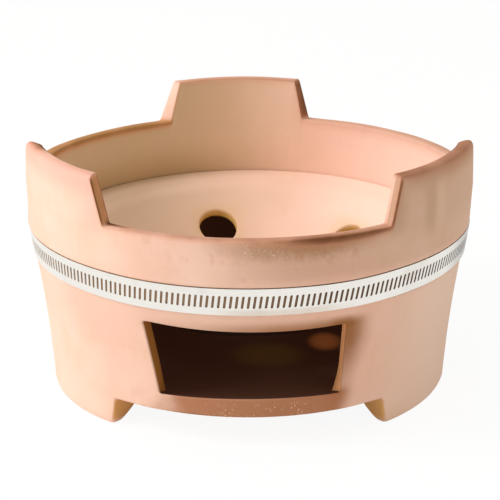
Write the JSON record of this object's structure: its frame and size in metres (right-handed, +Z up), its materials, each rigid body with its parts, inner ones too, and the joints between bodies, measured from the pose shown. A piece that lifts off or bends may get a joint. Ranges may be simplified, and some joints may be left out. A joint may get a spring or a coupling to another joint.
{
  "type": "charcoal brazier",
  "caption": "Round fired-clay charcoal stove with pot rests on its rim, a draught door, a loose perforated fire bowl and a perforated worm-drive clamp strip round its waist.",
  "frame": {"origin": "centre of the foot ring's underside, on the stove's axis at table level", "axes": "+Z up along the stove's axis; -Y towards the draught door (front); +X to the right of someone facing the door"},
  "size_m": [0.2626, 0.2713, 0.1496],
  "materials": {
    "body_clay": "unglazed, matt, smoke-stained",
    "bowl_clay": "unglazed, matt",
    "strip_steel": "bright rolled stainless steel",
    "screw_steel": "zinc-plated steel"
  },
  "bodies": {
    "stove": {"clay_body": "body_clay", "hoop_band": "strip_steel", "housing_saddle": "strip_steel", "screw_housing": "strip_steel"},
    "grate": {"fire_bowl": "bowl_clay"},
    "tail": {"band_tail": "strip_steel"},
    "screw": {"worm_screw": "screw_steel"}
  },
  "joints": [
    {"name": "grate_lift", "type": "slide", "parent": "stove", "child": "grate", "axis": [0, 0, 1], "range_m": [0, 0.125]},
    {"name": "worm_spin", "type": "hinge", "parent": "stove", "child": "screw", "pos_m": [0, 0.13434, 0.08767], "axis": [1, 0, 0], "range_deg": [0, 3600]},
    {"name": "tail_feed", "type": "hinge", "parent": "stove", "child": "tail", "pos_m": [0, 0, 0], "axis": [0, 0, 1], "range_deg": [0, 14.3]}
  ],
  "couplings": [
    {"joint": "tail_feed", "follows": "worm_spin", "ratio": 0.0038848}
  ]
}
